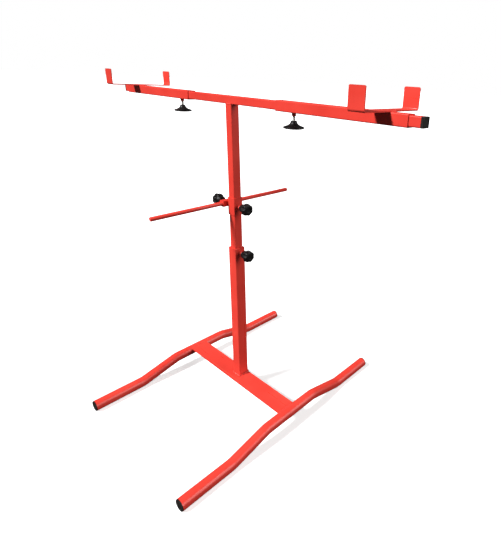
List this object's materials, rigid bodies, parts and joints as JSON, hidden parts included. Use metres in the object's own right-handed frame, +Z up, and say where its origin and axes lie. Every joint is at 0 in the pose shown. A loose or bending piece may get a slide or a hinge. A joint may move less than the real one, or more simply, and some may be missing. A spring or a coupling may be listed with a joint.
{
  "type": "adjustable support stand",
  "caption": "Free-standing T-shaped support stand of square steel tube: bent tube feet, telescoping mast, sliding cross rod and a beam with sliding cradles held by clamp screws.",
  "frame": {"origin": "on the floor, under the mast, at the middle of the footprint", "axes": "+Z up the mast, +X along the beam, +Y along the feet"},
  "size_m": [1.353, 0.88, 1.1699],
  "materials": {
    "red_paint": "gloss",
    "black_plug": "matte",
    "black_knob": "satin",
    "zinc_stud": "zinc plated"
  },
  "bodies": {
    "base": {"left_foot": "red_paint", "left_near_plug": "black_plug", "left_far_plug": "black_plug", "right_foot": "red_paint", "right_near_plug": "black_plug", "right_far_plug": "black_plug", "crossbar": "red_paint", "outer_mast_tube": "red_paint", "lower_clamp_boss": "red_paint"},
    "rod_carriage": {"clamp_collar": "red_paint", "collar_clamp_boss": "red_paint", "rod_sleeve": "red_paint", "rod_clamp_boss": "red_paint"},
    "upper_mast": {"inner_mast_tube": "red_paint", "beam_tube": "red_paint", "left_beam_plug": "black_plug", "right_beam_plug": "black_plug"},
    "cross_rod": {"cross_rod": "red_paint"},
    "left_arm": {"left_arm_sleeve": "red_paint", "left_cradle": "red_paint", "left_arm_clamp_boss": "red_paint"},
    "right_arm": {"right_arm_sleeve": "red_paint", "right_cradle": "red_paint", "right_arm_clamp_boss": "red_paint"},
    "lower_clamp_screw": {"lower_clamp_knob": "black_knob", "lower_clamp_stud": "zinc_stud"},
    "collar_clamp_screw": {"collar_clamp_knob": "black_knob", "collar_clamp_stud": "zinc_stud"},
    "rod_clamp_screw": {"rod_clamp_knob": "black_knob", "rod_clamp_stud": "zinc_stud"},
    "left_arm_clamp_screw": {"left_arm_clamp_knob": "black_knob", "left_arm_clamp_stud": "zinc_stud"},
    "right_arm_clamp_screw": {"right_arm_clamp_knob": "black_knob", "right_arm_clamp_stud": "zinc_stud"}
  },
  "joints": [
    {"name": "mast_slide", "type": "slide", "parent": "base", "child": "upper_mast", "axis": [0, 0, 1], "range_m": [-0.06, 0.3]},
    {"name": "rod_carriage_slide", "type": "slide", "parent": "upper_mast", "child": "rod_carriage", "axis": [0, 0, 1], "range_m": [-0.05, 0.28]},
    {"name": "cross_rod_slide", "type": "slide", "parent": "rod_carriage", "child": "cross_rod", "axis": [0, 1, 0], "range_m": [-0.2, 0.2]},
    {"name": "left_arm_slide", "type": "slide", "parent": "upper_mast", "child": "left_arm", "axis": [-1, 0, 0], "range_m": [-0.15, 0.2]},
    {"name": "right_arm_slide", "type": "slide", "parent": "upper_mast", "child": "right_arm", "axis": [1, 0, 0], "range_m": [-0.15, 0.2]},
    {"name": "lower_clamp_turn", "type": "hinge", "parent": "base", "child": "lower_clamp_screw", "pos_m": [0.02, 0, 0.588], "axis": [1, 0, 0], "range_deg": [0, 270]},
    {"name": "collar_clamp_turn", "type": "hinge", "parent": "rod_carriage", "child": "collar_clamp_screw", "pos_m": [0.0175, 0, 0.756], "axis": [1, 0, 0], "range_deg": [0, 270]},
    {"name": "rod_clamp_turn", "type": "hinge", "parent": "rod_carriage", "child": "rod_clamp_screw", "pos_m": [-0.0375, -0.01, 0.764], "axis": [-1, 0, 0], "range_deg": [0, 270]},
    {"name": "left_arm_clamp_turn", "type": "hinge", "parent": "left_arm", "child": "left_arm_clamp_screw", "pos_m": [-0.281, 0, 1.085], "axis": [0, 0, -1], "range_deg": [0, 270]},
    {"name": "right_arm_clamp_turn", "type": "hinge", "parent": "right_arm", "child": "right_arm_clamp_screw", "pos_m": [0.273, 0, 1.085], "axis": [0, 0, -1], "range_deg": [0, 270]}
  ]
}
